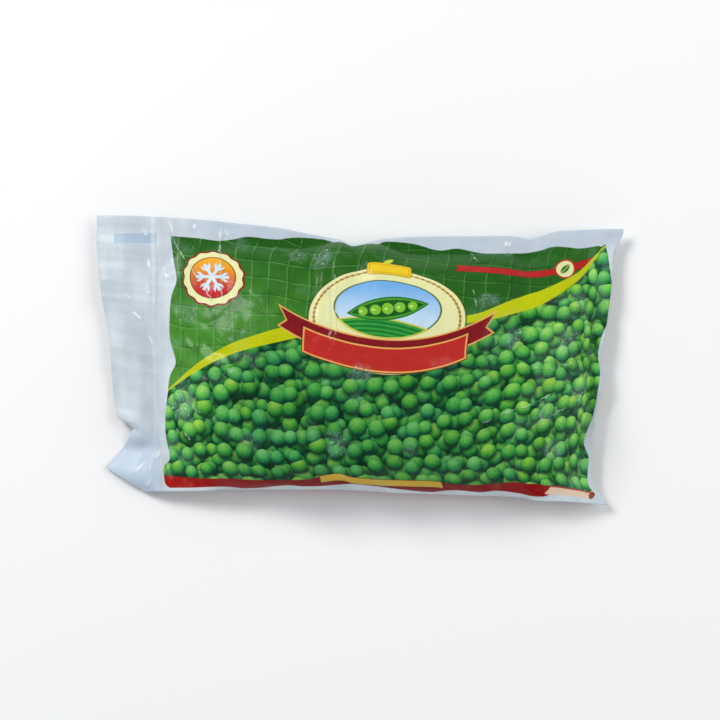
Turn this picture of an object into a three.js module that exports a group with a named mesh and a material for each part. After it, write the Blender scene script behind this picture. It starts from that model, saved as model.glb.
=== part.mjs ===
// A half-kilogram bag of frozen peas: a printed tube of plastic film, welded shut across both
// ends and about two thirds full, lying on its back on a table with its printed front up.
// One piece of film round one frozen mass, so the bag is one closed solid.
// Millimetres. X runs along the bag, from the loose tail at the left to the right-hand weld,
// Y from the near long side to the far one, and Z up from the table.
import * as THREE from "three";

// The four corners of the filled length, between the left weld and the cut edge at the right.
const NEAR_LEFT = [-104, -70];
const FAR_LEFT = [-108, 76];
const NEAR_RIGHT = [130.5, -77];
const FAR_RIGHT = [139.5, 70];
const BODY_WIDTH = FAR_LEFT[1] - NEAR_LEFT[1];
const BODY_LENGTH = FAR_RIGHT[0] - FAR_LEFT[0];

// How far the filling pulls each side in from the straight line between its corners:
// [share of the side's length, millimetres]. The long sides start at the left weld,
// and the right-hand end starts at the near side.
const FAR_PULL = [
  [0, 0], [0.1, 1.2], [0.2, 3.2], [0.31, 5.8], [0.37, 8.6], [0.425, 11.4], [0.49, 8.4],
  [0.565, 6.9], [0.735, 5.9], [0.8, 6.8], [0.86, 1.9], [0.95, 0.9], [1, 0],
];
const NEAR_PULL = [
  [0, 0], [0.08, 0.6], [0.17, 2.3], [0.31, 3.8], [0.42, 4.5], [0.53, 3.7], [0.65, 3.5],
  [0.8, 3], [0.84, 1.2], [0.9, 1], [1, 0],
];
const RIGHT_PULL = [
  [0, 0], [0.075, 7.7], [0.135, 9.8], [0.31, 8.7], [0.38, 7.2], [0.46, 5.8], [0.52, 7.5],
  [0.63, 5.3], [0.78, 3.9], [0.91, 4.1], [1, 0],
];

// The loose tail of film beyond the left weld: its cut edge from the near side to the far one,
// as [share of the rows, x, y]. Its near corner is tucked back and stands out as a wing.
const TUCK = 0.2;
const CUT_EDGE = [
  [0, -114.5, -70], [0.1, -134.6, -57.2], [TUCK, -120.3, -37.1], [0.2334, -128.8, -31.3],
  [0.3334, -130.9, -15.9], [0.5, -133, 9.5], [0.7, -137.3, 35], [0.8667, -139.9, 60.4],
  [1, -139.4, 77.4],
];

// Heights. The side line is where the top and the underside meet, round the widest outline.
const CROWN = 27; // the top's rise above the side line, at the fullest place
const SAG = 22; // what the underside would hang below the side line with no table under it
const SIDE_NEAR = 12.5;
const SIDE_FAR = 9.5;
const SIDE_AT_WELD = 8;
const WELD_REACH = 0.1; // how far in from each end the side line comes down, as a share
const EAR_DROOP = { near: 3, far: 2, along: 0.06, across: 0.1 };
const FILM = 0.6; // two layers of film where nothing lies between them

// The tail droops to the table in loose waves, and its main panel lies over the tucked wing.
const TAIL_DROOP = 4.6;
const TAIL_WAVES = [
  { height: 1.1, across: 9, along: 0, phase: 1.4 },
  { height: 0.5, across: 23, along: 4, phase: 0 },
];
const TUCK_STEP = 2.4;
const TUCK_EDGE = { start: 0.05, end: 0.012 }; // shares of the rows on both sides of the tuck
const WING_RIPPLE = 1.6;
const WING_RIPPLES = 34;
const WING_SINK = 0.9;

// Where the filling is fullest across the bag, and how square and how round its form is.
const CREST = 0.42;
const SQUARENESS = 7;
const DOME = 2.8;
const NEAR_ROUND = 0.5;
const FAR_ROUND = 0.74;
const END_ROUND = 0.6;
const CORNER_ROUND = 1.5; // the corners taper gently to flat ears
const CORNER_NEARNESS = 3;
const LIP = 0.07; // the empty fold of film along the far side, as a share of the width
const LIP_GONE_AT = 0.43; // the filling reaches the far side here, and the empty fold turns under
const LIP_GONE_OVER = 0.09;
const RIGHT_WELD = 0.968; // the filling stops here, at the right-hand weld
const LOOSE_BELOW = 0.25; // folds and bumps fade out where the bag is less full than this

// Long, low swells in the filling, and the peas that press up under the film.
const SWELLS = { seed: 7, count: 12, height: 0.42, shortest: 34, longest: 78 };
const PEAS = { spacing: 9.2, height: 0.55, smallest: 0.5, largest: 0.72, margin: 0.15 };

// Gathers: short folds that run from an end weld or a long side into the bag, square to it.
const GATHERS = {
  left: { seed: 11, length: BODY_WIDTH, spacing: 15, depth: 1.7, reach: 20 },
  right: { seed: 23, length: BODY_WIDTH, spacing: 13, depth: 1.6, reach: 17 },
  far: { seed: 31, length: BODY_LENGTH, spacing: 27, depth: 1.9, reach: 22 },
  near: { seed: 47, length: BODY_LENGTH, spacing: 21, depth: 1.1, reach: 13 },
};
const GATHER_AT_RIM = 0.6; // the share of a gather's depth that the weld itself takes up

// Creases drawn tight across the front: from [x, y] to [x, y], with a width and a height.
// A negative height is a valley.
const CREASES = [
  { from: [-99, 64], to: [-78, 37], width: 1.9, height: 1.3 },
  { from: [-75, 70], to: [-71, 35], width: 2.2, height: 1.2 },
  { from: [-17, 62], to: [-20, 14], width: 2.6, height: 1.4 },
  { from: [-3, 60], to: [2, 30], width: 5, height: -2.6 },
  { from: [91, 62], to: [84, 20], width: 4.4, height: -1.9 },
  { from: [52, 58], to: [57, 28], width: 2.4, height: 1 },
  { from: [124, 0], to: [66, -40], width: 4.2, height: -1.7 },
  { from: [123, -14], to: [84, -31], width: 2.6, height: 1.5 },
  { from: [119, -40], to: [88, -54], width: 3.4, height: -1.4 },
  { from: [-92, 12], to: [-64, -4], width: 3.6, height: -1.1 },
  { from: [-98, -20], to: [-76, -38], width: 3, height: 1.1 },
];
const CREASE_TAPER = { start: 0.2, end: 0.6, over: 0.15 }; // shares of a crease's length

// Mesh steps.
const TAIL_COLUMNS = 9;
const BODY_COLUMNS = 63;
const ROWS = 30;
const FINE = 240; // samples for measuring a length along the film

const mix = (a, b, t) => a + (b - a) * t;
const clamp = (x, low, high) => Math.min(high, Math.max(low, x));
const smooth = (low, high, x) => {
  const t = clamp((x - low) / (high - low), 0, 1);
  return t * t * (3 - 2 * t);
};
const bell = (x, width) => Math.exp(-((x / width) ** 2));
const total = (numbers) => numbers.reduce((sum, n) => sum + n, 0);
const onLine = (a, b, t) => [mix(a[0], b[0], t), mix(a[1], b[1], t)];

// Numbers from 0 to 1 that are the same on every run.
function randomFrom(seed) {
  const factor = 1664525;
  const step = 1013904223;
  const range = 2 ** 32;
  let state = seed;
  return () => {
    state = (state * factor + step) % range;
    return state / range;
  };
}

// A number from 0 to 1 that belongs to the pea in column i and row j; k picks which number.
function scatter(i, j, k) {
  const wave = Math.sin(i * 127.1 + j * 311.7 + k * 74.7) * 43758.5453;
  return wave - Math.floor(wave);
}

// A smooth curve through knots [x, y], with a slope at each knot from its two neighbours.
function throughKnots(knots, x) {
  let k = 0;
  while (k < knots.length - 2 && x > knots[k + 1][0]) k++;
  const slope = (i) => {
    const a = knots[Math.max(i - 1, 0)];
    const b = knots[Math.min(i + 1, knots.length - 1)];
    return (b[1] - a[1]) / (b[0] - a[0]);
  };
  const [x0, y0] = knots[k];
  const [x1, y1] = knots[k + 1];
  const h = x1 - x0;
  const t = clamp((x - x0) / h, 0, 1);
  const u = 1 - t;
  return y0 * (1 + 2 * t) * u * u + y1 * t * t * (3 - 2 * t)
    + h * t * u * (slope(k) * u - slope(k + 1) * t);
}

// The tail's cut edge has real corners, so it runs straight between its knots.
function cutEdge(q) {
  let k = 0;
  while (k < CUT_EDGE.length - 2 && q > CUT_EDGE[k + 1][0]) k++;
  const [q0, ...start] = CUT_EDGE[k];
  const [q1, ...end] = CUT_EDGE[k + 1];
  return onLine(start, end, (q - q0) / (q1 - q0));
}

const sealLine = (q) => onLine(NEAR_LEFT, FAR_LEFT, q);

function farSide(p) {
  const [x, y] = onLine(FAR_LEFT, FAR_RIGHT, p);
  return [x, y - throughKnots(FAR_PULL, p)];
}

function nearSide(p) {
  const [x, y] = onLine(NEAR_LEFT, NEAR_RIGHT, p);
  return [x, y + throughKnots(NEAR_PULL, p)];
}

function rightEnd(q) {
  const [x, y] = onLine(NEAR_RIGHT, FAR_RIGHT, q);
  return [x - throughKnots(RIGHT_PULL, q), y];
}

// The place, seen from above, at shares p along the filled length and q across it.
function planOf(p, q) {
  const near = nearSide(p);
  const far = farSide(p);
  const left = sealLine(q);
  const right = rightEnd(q);
  const flat = onLine(onLine(NEAR_LEFT, NEAR_RIGHT, p), onLine(FAR_LEFT, FAR_RIGHT, p), q);
  return [0, 1].map((k) => mix(near[k], far[k], q) + mix(left[k], right[k], p) - flat[k]);
}

// How full the bag is, from 0 at the rim of the filling to 1 at its crest.
function fullness(p, q) {
  const reachesFar = bell(p - LIP_GONE_AT, LIP_GONE_OVER);
  const lip = LIP * (1 - reachesFar);
  const along = p < 0.5 ? 1 - 2 * p : (p - 0.5) / (RIGHT_WELD - 0.5);
  const across = q < CREST ? (CREST - q) / CREST : (q - CREST) / (1 - lip - CREST);
  const ends = Math.abs(along) ** SQUARENESS;
  const sides = Math.abs(across) ** SQUARENESS;
  const rim = (ends + sides) ** (1 / SQUARENESS);
  if (rim >= 1) return 0;
  const sideRound = q < CREST ? NEAR_ROUND : mix(FAR_ROUND, NEAR_ROUND, reachesFar);
  const share = ends > 0 ? 1 / (1 + Math.sqrt(sides / ends)) : 0;
  const corner = rim ** CORNER_NEARNESS * (4 * share * (1 - share)) ** 2;
  return (1 - rim ** DOME) ** mix(mix(sideRound, END_ROUND, share), CORNER_ROUND, corner);
}

const swells = (() => {
  const random = randomFrom(SWELLS.seed);
  return Array.from({ length: SWELLS.count }, () => {
    const angle = random() * Math.PI;
    const length = mix(SWELLS.shortest, SWELLS.longest, random());
    return {
      x: (2 * Math.PI * Math.cos(angle)) / length,
      y: (2 * Math.PI * Math.sin(angle)) / length,
      phase: random() * 2 * Math.PI,
    };
  });
})();
const swelling = (x, y) =>
  SWELLS.height * total(swells.map((s) => Math.sin(s.x * x + s.y * y + s.phase)));

// The height of the film over the nearest pea, at u along the film and v across it.
function peaBump(u, v) {
  const column = Math.floor(u / PEAS.spacing);
  const row = Math.floor(v / PEAS.spacing);
  let best = 0;
  for (let i = column - 1; i <= column + 1; i++)
    for (let j = row - 1; j <= row + 1; j++) {
      const du = u / PEAS.spacing - i - mix(PEAS.margin, 1 - PEAS.margin, scatter(i, j, 1));
      const dv = v / PEAS.spacing - j - mix(PEAS.margin, 1 - PEAS.margin, scatter(i, j, 2));
      const size = mix(PEAS.smallest, PEAS.largest, scatter(i, j, 3));
      best = Math.max(best, 1 - (du * du + dv * dv) / (size * size));
    }
  return PEAS.height * best;
}

// Each gather has a place along its side, a width, a depth and a reach into the bag.
function gathers({ seed, length, spacing, depth, reach }) {
  const random = randomFrom(seed);
  const made = [];
  for (let at = spacing * random(); at < length; at += spacing * mix(0.6, 1.5, random()))
    made.push({
      at,
      width: spacing * mix(0.22, 0.4, random()),
      depth: depth * mix(-1, 1, random()),
      reach: reach * mix(0.5, 1.3, random()),
    });
  return (along, inward) =>
    total(made.map((f) => f.depth * bell(along - f.at, f.width) * bell(inward, f.reach)));
}
const leftGathers = gathers(GATHERS.left);
const rightGathers = gathers(GATHERS.right);
const farGathers = gathers(GATHERS.far);
const nearGathers = gathers(GATHERS.near);

function creased(x, y) {
  const { start, end, over } = CREASE_TAPER;
  return total(CREASES.map(({ from, to, width, height }) => {
    const dx = to[0] - from[0];
    const dy = to[1] - from[1];
    const length = Math.hypot(dx, dy);
    const along = ((x - from[0]) * dx + (y - from[1]) * dy) / length ** 2;
    const aside = ((x - from[0]) * dy - (y - from[1]) * dx) / length;
    return height * smooth(-over, start, along) * smooth(1 + over, end, along) * bell(aside, width);
  }));
}

// The height of the side line, and of the welds, over the table.
function sideHeight(p, q) {
  const [x] = planOf(p, q);
  const welded = Math.min(bell(p, WELD_REACH) + bell(1 - p, WELD_REACH), 1);
  const waves = leftGathers(q * BODY_WIDTH, x - sealLine(q)[0])
    + rightGathers(q * BODY_WIDTH, rightEnd(q)[0] - x);
  const ears = bell(1 - p, EAR_DROOP.along)
    * (EAR_DROOP.near * bell(q, EAR_DROOP.across) + EAR_DROOP.far * bell(1 - q, EAR_DROOP.across));
  return mix(mix(SIDE_NEAR, SIDE_FAR, q), SIDE_AT_WELD, welded) + GATHER_AT_RIM * waves - ears;
}

// The height of the tail at share s of its length beyond the weld and q across it.
function tailHeight(s, q) {
  const waves = total(TAIL_WAVES.map((w) =>
    w.height * Math.sin(w.across * q + w.along * s + w.phase)));
  const onPanel = smooth(TUCK - TUCK_EDGE.start, TUCK + TUCK_EDGE.end, q);
  const ripple = WING_RIPPLE * Math.sin(WING_RIPPLES * q) - WING_SINK;
  const wing = ripple * (1 - smooth(TUCK - TUCK_EDGE.start, TUCK, q));
  const step = TUCK_STEP * (onPanel - 0.5);
  const loose = smooth(0, 0.5, s);
  return sideHeight(0, q) - TAIL_DROOP * s * s + waves * s + (step + wing) * loose;
}

// Shares of a line, spaced so that each step has the same length along the film.
function evenly(pointAt, steps) {
  const shareOf = (i) => (1 - Math.cos((Math.PI * i) / FINE)) / 2;
  const reached = [0];
  let before = pointAt(0);
  for (let i = 1; i <= FINE; i++) {
    const here = pointAt(shareOf(i));
    reached.push(reached[i - 1] + Math.hypot(...here.map((x, k) => x - before[k])));
    before = here;
  }
  const shares = [];
  let k = 0;
  for (let i = 0; i <= steps; i++) {
    const wanted = (reached[FINE] * i) / steps;
    while (k < FINE - 1 && reached[k + 1] < wanted) k++;
    const t = clamp((wanted - reached[k]) / (reached[k + 1] - reached[k]), 0, 1);
    shares.push(shareOf(k + t));
  }
  return { shares, length: reached[FINE] };
}

const plainTop = (p, q) => [...planOf(p, q), sideHeight(p, q) + CROWN * fullness(p, q)];

// One place on the tail: a point on top and one underneath.
function tailPlace(s, q) {
  const [x, y] = onLine(sealLine(q), cutEdge(q), s);
  const z = Math.max(tailHeight(s, q), FILM);
  return { top: [x, y, z + FILM / 2], under: [x, y, z - FILM / 2] };
}

// One place on the filled bag, at shares p and q, and at u along and v across the film.
function bodyPlace(p, q, u, v) {
  const [x, y] = planOf(p, q);
  const full = fullness(p, q);
  const side = sideHeight(p, q);
  const loose = smooth(0, LOOSE_BELOW, full);
  const folds = farGathers(p * BODY_LENGTH, farSide(p)[1] - y)
    + nearGathers(p * BODY_LENGTH, y - nearSide(p)[1]);
  const relief = folds + creased(x, y) + swelling(x, y) + peaBump(u, v);
  const top = side + CROWN * full + loose * relief + FILM / 2;
  const under = side - SAG * full - loose * (folds + peaBump(v, u)) - FILM / 2;
  return { top: [x, y, top], under: [x, y, Math.max(0, under)] };
}

// The film as a grid of columns from the tail's cut edge to the right-hand end, and rows from
// the near side to the far one.
function filmGrid() {
  const columns = [];
  for (let i = 0; i < TAIL_COLUMNS; i++) {
    const s = 1 - i / TAIL_COLUMNS;
    columns.push(Array.from({ length: ROWS + 1 }, (_, j) => tailPlace(s, j / ROWS)));
  }
  const along = evenly((p) => plainTop(p, CREST), BODY_COLUMNS);
  for (const [i, p] of along.shares.entries()) {
    const across = evenly((q) => plainTop(p, q), ROWS);
    const u = (along.length * i) / BODY_COLUMNS;
    columns.push(across.shares.map((q, j) => bodyPlace(p, q, u, (across.length * j) / ROWS)));
  }
  return columns;
}

// One closed surface: the top, the underside, and a narrow wall of film round the outline.
function closedSurface(columns) {
  const places = [];
  const faces = [];
  const across = columns[0].length;
  const at = (i, j, side) => (i * across + j) * 2 + side;
  for (const column of columns)
    for (const { top, under } of column) places.push(...top, ...under);
  const quad = (a, b, c, d) => faces.push(a, b, c, a, c, d);
  for (let i = 0; i < columns.length - 1; i++)
    for (let j = 0; j < across - 1; j++) {
      quad(at(i, j, 0), at(i + 1, j, 0), at(i + 1, j + 1, 0), at(i, j + 1, 0));
      quad(at(i, j, 1), at(i, j + 1, 1), at(i + 1, j + 1, 1), at(i + 1, j, 1));
    }
  const wall = (a, b) => quad(at(...a, 1), at(...b, 1), at(...b, 0), at(...a, 0));
  const right = columns.length - 1;
  const far = across - 1;
  for (let i = 0; i < right; i++) {
    wall([i, 0], [i + 1, 0]);
    wall([i + 1, far], [i, far]);
  }
  for (let j = 0; j < far; j++) {
    wall([0, j + 1], [0, j]);
    wall([right, j], [right, j + 1]);
  }
  const geometry = new THREE.BufferGeometry();
  geometry.setAttribute("position", new THREE.Float32BufferAttribute(places, 3));
  geometry.setIndex(faces);
  return geometry;
}

// The origin is under the middle of the bag's outline, on the table.
function standOnOrigin(geometry) {
  geometry.computeBoundingBox();
  const { min, max } = geometry.boundingBox;
  geometry.translate(-(min.x + max.x) / 2, -(min.y + max.y) / 2, -min.z);
  geometry.computeVertexNormals();
  return geometry;
}

const printedFilm = new THREE.MeshStandardMaterial({
  color: 0x3f8a3a,
  roughness: 0.35,
  metalness: 0,
});
const bag = new THREE.Mesh(standOnOrigin(closedSurface(filmGrid())), printedFilm);
bag.name = "pea_bag";

const group = new THREE.Group();
group.add(bag);
export default group;
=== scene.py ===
"""A bag of frozen peas: printed plastic film round a frozen mass, lying with its front up.

The bag is one sheet of film, worked out in millimetres from the same named sizes as its solid
and with far finer folds. Every place on it knows where it is on the flat film: u runs along the
bag from the left weld and v runs across it. The print is drawn in those film millimetres, so it
bends, foreshortens and wraps round the side as a real print does.
"""

import math

import bpy
import numpy as np
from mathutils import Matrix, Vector


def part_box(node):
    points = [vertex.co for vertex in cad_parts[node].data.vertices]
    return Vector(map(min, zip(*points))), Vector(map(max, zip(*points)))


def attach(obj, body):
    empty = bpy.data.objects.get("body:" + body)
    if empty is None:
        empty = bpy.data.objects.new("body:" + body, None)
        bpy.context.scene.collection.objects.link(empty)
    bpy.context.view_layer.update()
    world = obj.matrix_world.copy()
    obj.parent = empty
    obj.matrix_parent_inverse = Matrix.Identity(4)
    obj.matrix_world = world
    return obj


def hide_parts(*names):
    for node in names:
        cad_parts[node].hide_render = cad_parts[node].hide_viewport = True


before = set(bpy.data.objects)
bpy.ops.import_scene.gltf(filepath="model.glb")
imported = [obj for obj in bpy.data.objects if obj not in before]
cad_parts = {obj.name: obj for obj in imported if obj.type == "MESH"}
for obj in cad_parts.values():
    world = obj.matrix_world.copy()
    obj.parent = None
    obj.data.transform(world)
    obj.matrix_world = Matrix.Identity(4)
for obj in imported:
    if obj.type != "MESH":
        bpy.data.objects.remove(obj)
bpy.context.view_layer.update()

MM = 0.001

# The four corners of the filled length, between the left weld and the cut edge at the right.
NEAR_LEFT = (-104.0, -70.0)
FAR_LEFT = (-108.0, 76.0)
NEAR_RIGHT = (130.5, -77.0)
FAR_RIGHT = (139.5, 70.0)
BODY_WIDTH = FAR_LEFT[1] - NEAR_LEFT[1]
BODY_LENGTH = FAR_RIGHT[0] - FAR_LEFT[0]

# How far the filling pulls each side in from the straight line between its corners, as
# (share of the side's length, millimetres).
FAR_PULL = [
    (0, 0), (0.1, 1.2), (0.2, 3.2), (0.27, 4.8), (0.31, 6.7), (0.37, 9), (0.4, 10.6),
    (0.425, 12.8), (0.49, 9.5), (0.565, 7.6), (0.69, 6.6), (0.735, 6.1), (0.775, 6.3),
    (0.805, 7.3), (0.86, 3.1), (0.91, 1.9), (0.95, 0.9), (1, 0),
]
NEAR_PULL = [
    (0, 0), (0.08, 0.6), (0.17, 2.3), (0.31, 3.8), (0.42, 4.5), (0.53, 3.7), (0.65, 3.5),
    (0.8, 3), (0.84, 1.2), (0.9, 1), (1, 0),
]
RIGHT_PULL = [
    (0, 0), (0.075, 7.7), (0.135, 9.8), (0.31, 8.7), (0.38, 7.2), (0.46, 5.8), (0.52, 7.5),
    (0.63, 5.3), (0.78, 3.5), (0.91, 2.7), (0.965, -0.3), (1, 0),
]

# The far right ear's tip reaches out beyond the right-hand end's line.
EAR_TIP = 1.8

# The near side's empty film reaches a little beyond the filled part's straight-cut line.
NEAR_EXTRA = [(0, 0), (0.15, 0.3), (0.3, 0.9), (0.5, 1), (0.8, 0.7), (0.9, 0.2), (1, 0)]

# The loose tail's cut edge, from the near side to the far one: (share of the rows, x, y).
TUCK = 0.2
CUT_EDGE = [
    (0, -112.4, -70), (0.1, -133.2, -57.2), (0.15, -124.6, -47.1), (TUCK, -118.4, -36.9),
    (0.22, -122.6, -33.6), (0.23, -126.2, -32.3), (0.24, -127.6, -30.2), (0.25, -128, -28.4),
    (0.3334, -129.9, -15.9), (0.5, -131.9, 9.5), (0.7, -136.6, 35), (0.8667, -139.7, 60.4),
    (1, -139.9, 77.4),
]

# Heights over the table.
CROWN = 27.0
SAG = 22.0
SIDE_NEAR = 12.5
SIDE_FAR = 9.5
SIDE_AT_WELD = 8.0
WELD_REACH = 0.1
EAR_DROOP_NEAR = 3.0
EAR_DROOP_FAR = 2.0
EAR_ALONG = 0.06
EAR_ACROSS = 0.1
FILM = 0.4

# The tail's droop, its loose waves (height, across, along, phase), and its tucked wing.
TAIL_DROOP = 4.6
TAIL_WAVES = [(1.1, 9, 0, 1.4), (0.5, 23, 4, 0)]
TUCK_STEP = 2.4
TUCK_START = 0.05
TUCK_END = 0.012
WING_RIPPLE = 1.6
WING_RIPPLES = 34
WING_SINK = 0.9

# Where the filling is fullest across the bag, and how square and how round its form is.
CREST = 0.42
SQUARENESS = 7
DOME = 2.8
NEAR_ROUND = 0.5
FAR_ROUND = 0.74
END_ROUND = 0.6
CORNER_ROUND = 1.5
CORNER_NEARNESS = 3
LIP = 0.07
LIP_GONE_AT = 0.43
LIP_GONE_OVER = 0.09
RIGHT_WELD = 0.968
LOOSE_BELOW = 0.25

# Swells in the filling, and the peas that press up under the film.
SWELL_SEED = 7
SWELL_COUNT = 12
SWELL_HEIGHT = 0.42
SWELL_SHORTEST = 34
SWELL_LONGEST = 78
PEA_SPACING = 9.2
PEA_BUMP = 0.5
PEA_SMALLEST = 0.5
PEA_LARGEST = 0.72
PEA_MARGIN = 0.15

# Gathers along each side: seed, length of the side, spacing, depth and reach into the bag.
# The first set is the solid's own, and the fine set lies over it.
LEFT_GATHERS = [(11, BODY_WIDTH, 15, 1.7, 20), (12, BODY_WIDTH, 6, 0.55, 11)]
RIGHT_GATHERS = [(23, BODY_WIDTH, 13, 1.6, 17), (24, BODY_WIDTH, 5, 0.5, 9)]
FAR_GATHERS = [(31, BODY_LENGTH, 27, 1.9, 22), (32, BODY_LENGTH, 10, 0.8, 14)]
NEAR_GATHERS = [(47, BODY_LENGTH, 21, 1.1, 13), (48, BODY_LENGTH, 9, 0.5, 9)]
GATHER_AT_RIM = 0.6
# A gather's least and greatest width, reach and hop to the next, as shares.
GATHER_WIDTHS = (0.22, 0.4)
GATHER_REACHES = (0.5, 1.3)
GATHER_HOPS = (0.6, 1.5)

# Creases drawn tight across the front: from, to, width and height. Below zero is a valley.
CREASES = [
    ((-99, 64), (-78, 37), 1.9, 1.3), ((-75, 70), (-71, 35), 2.2, 1.2),
    ((-17, 62), (-20, 14), 2.6, 1.4), ((-3, 60), (2, 30), 5, -2.6),
    ((91, 62), (84, 20), 4.4, -1.9), ((52, 58), (57, 28), 2.4, 1),
    ((124, 0), (66, -40), 4.2, -1.7), ((123, -14), (84, -31), 2.6, 1.5),
    ((119, -40), (88, -54), 3.4, -1.4), ((-92, 12), (-64, -4), 3.6, -1.1),
    ((-98, -20), (-76, -38), 3, 1.1),
]

CREASE_START = 0.2
CREASE_END = 0.6
CREASE_OVER = 0.15

# Thin sharp creases in the film, as (u, v) at each end: across the print, then in its bare
# margins and the tail, and how far they stand up.
THIN_CREASES = [
    ((13.3, 137.9), (25.7, 121.7)), ((25.7, 121.7), (38.1, 102.7)), ((41.9, 149.1), (41, 136.7)),
    ((41, 136.7), (43.8, 103.3)), ((100.1, 131), (102.9, 84)), ((97.2, 116.8), (100.1, 87.3)),
    ((168.7, 149.1), (173.4, 135.9)), ((170.6, 118.1), (172.5, 108.4)), ((181.1, 46.3), (206.8, 55)),
    ((206.8, 55), (218.2, 60.8)), ((183, 74.5), (216.3, 73.3)), ((216.3, 73.3), (234.4, 77.9)),
    ((219.2, 48.4), (234.4, 56.7)), ((23.8, 49.1), (31.5, 43.4)), ((21.9, 32), (24.8, 29)),
]
BARE_CREASES = [
    ((-4.7, 122.2), (-3.8, 118.2), 1), ((-13.1, 93.4), (-7.8, 89.5), 1),
    ((-6.8, 138.5), (-4.5, 134.9), 0.8), ((-4.4, 108.5), (-5.5, 106.1), 0.6),
    ((-5.5, 106.1), (-3.4, 103.7), 0.7), ((7.2, 117.5), (10.9, 115.5), 0.9),
    ((26.7, 148.6), (26.7, 145.4), 1), ((41.2, 148.3), (40, 142.7), 0.7),
    ((41.9, 149.3), (45.7, 145.5), 0.6), ((11.2, 147), (14.3, 139.6), 0.8),
    ((-4.4, 82.4), (-2.3, 76.3), 0.8), ((-7.3, 16), (-13.6, 10.3), 0.7),
    ((-3.8, 19), (-5, 9.2), 0.5), ((3.2, 23), (-1.9, 17.1), 0.8),
    ((-17.8, 21.8), (-18.8, 19), 0.5), ((-7.4, 2.6), (-3.9, 7.2), 0.6),
    ((-14, 31.4), (-4.7, 29.2), 0.45), ((-6, 29.5), (8.4, 27.4), 0.45),
    ((-16.4, 103), (-12.6, 99), 0.5), ((-21, 112), (-19.4, 108), 0.35),
    ((184.9, 154.7), (184.9, 150.5), 0.8), ((186.9, 154), (186.9, 149.8), 0.8),
]
THIN_CREASE_HEIGHT = 0.45
THIN_CREASE_WIDTH = 1.0
THIN_CREASE_WANDER = 0.4
THIN_CREASE_NOISE = (3.4, 81)
GLINT_WIDTH = 0.9

# The right-hand weld line wanders a little.
WELD_WANDER = 0.007
WELD_WANDER_SIZE = 16
WELD_WANDER_SEED = 71

# Crumpled film: its strong patches, wide ridges and fine ridges, as (size, seed).
CRUMPLE_PATCHES = (47, 21)
WIDE_RIDGES = (19, 31)
FINE_RIDGES = (8, 41)
WIDE_RIDGE_HEIGHT = 0.55
FINE_RIDGE_HEIGHT = 0.24
RIDGES_ANYWHERE = 0.09
RIDGE_SHARPNESS = 5

# Low waves in the empty film, as (height, size, seed). Beside the left weld they die out.
LOOSE_WAVES = [(0.55, 17, 61), (0.3, 7, 62)]
WELD_FLAT = 6
TAIL_FLAT = 0.3

# Mesh steps, about one millimetre on the film.
TAIL_COLUMNS = 34
BODY_COLUMNS = 264
ROWS = 150
FINE = 240


def mix(a, b, t):
    return a + (b - a) * t


def smooth(low, high, x):
    t = np.clip((x - low) / (high - low), 0, 1)
    return t * t * (3 - 2 * t)


def bell(x, width):
    return np.exp(-((x / width) ** 2))


def random_from(seed):
    """Numbers from 0 to 1 that are the same on every run."""
    factor = 1664525
    step = 1013904223
    span = 2 ** 32
    state = seed
    while True:
        state = (state * factor + step) % span
        yield state / span


def scatter(i, j, k):
    """A number from 0 to 1 that belongs to column i and row j; k picks which number."""
    wave = np.sin(i * 127.1 + j * 311.7 + k * 74.7) * 43758.5453
    return wave - np.floor(wave)


def noise(x, y, size, seed):
    """Smooth hills from -1 to 1, about size millimetres across."""
    i = np.floor(x / size)
    j = np.floor(y / size)
    s = smooth(0, 1, x / size - i)
    t = smooth(0, 1, y / size - j)
    near = mix(scatter(i, j, seed), scatter(i + 1, j, seed), s)
    far = mix(scatter(i, j + 1, seed), scatter(i + 1, j + 1, seed), s)
    return 2 * mix(near, far, t) - 1


def through_knots(knots, x):
    """A smooth curve through knots (x, y), with a slope at each from its two neighbours."""
    xs, ys = np.array(knots, float).T
    after = np.minimum(np.arange(len(xs)) + 1, len(xs) - 1)
    before = np.maximum(np.arange(len(xs)) - 1, 0)
    slopes = (ys[after] - ys[before]) / (xs[after] - xs[before])
    k = np.clip(np.searchsorted(xs, x) - 1, 0, len(xs) - 2)
    h = xs[k + 1] - xs[k]
    t = np.clip((x - xs[k]) / h, 0, 1)
    u = 1 - t
    level = ys[k] * (1 + 2 * t) * u * u + ys[k + 1] * t * t * (3 - 2 * t)
    return level + h * t * u * (slopes[k] * u - slopes[k + 1] * t)


def on_line(a, b, t):
    return mix(a[0], b[0], t), mix(a[1], b[1], t)


def cut_edge(q):
    """The tail's cut edge has real corners, so it runs straight between its knots."""
    share, x, y = np.array(CUT_EDGE, float).T
    return np.interp(q, share, x), np.interp(q, share, y)


def seal_line(q):
    return on_line(NEAR_LEFT, FAR_LEFT, q)


def far_side(p):
    x, y = on_line(FAR_LEFT, FAR_RIGHT, p)
    return x, y - through_knots(FAR_PULL, p)


def near_side(p):
    x, y = on_line(NEAR_LEFT, NEAR_RIGHT, p)
    return x, y + through_knots(NEAR_PULL, p) - through_knots(NEAR_EXTRA, p)


def right_end(q):
    x, y = on_line(NEAR_RIGHT, FAR_RIGHT, q)
    return x - through_knots(RIGHT_PULL, q), y


def plan_of(p, q):
    """The place, seen from above, at shares p along the filled length and q across it."""
    near = near_side(p)
    far = far_side(p)
    left = seal_line(q)
    right = right_end(q)
    flat = on_line(on_line(NEAR_LEFT, NEAR_RIGHT, p), on_line(FAR_LEFT, FAR_RIGHT, p), q)
    x, y = (mix(near[k], far[k], q) + mix(left[k], right[k], p) - flat[k] for k in (0, 1))
    return x + EAR_TIP * smooth(0.9, 1, p) * smooth(0.94, 1, q), y


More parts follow.
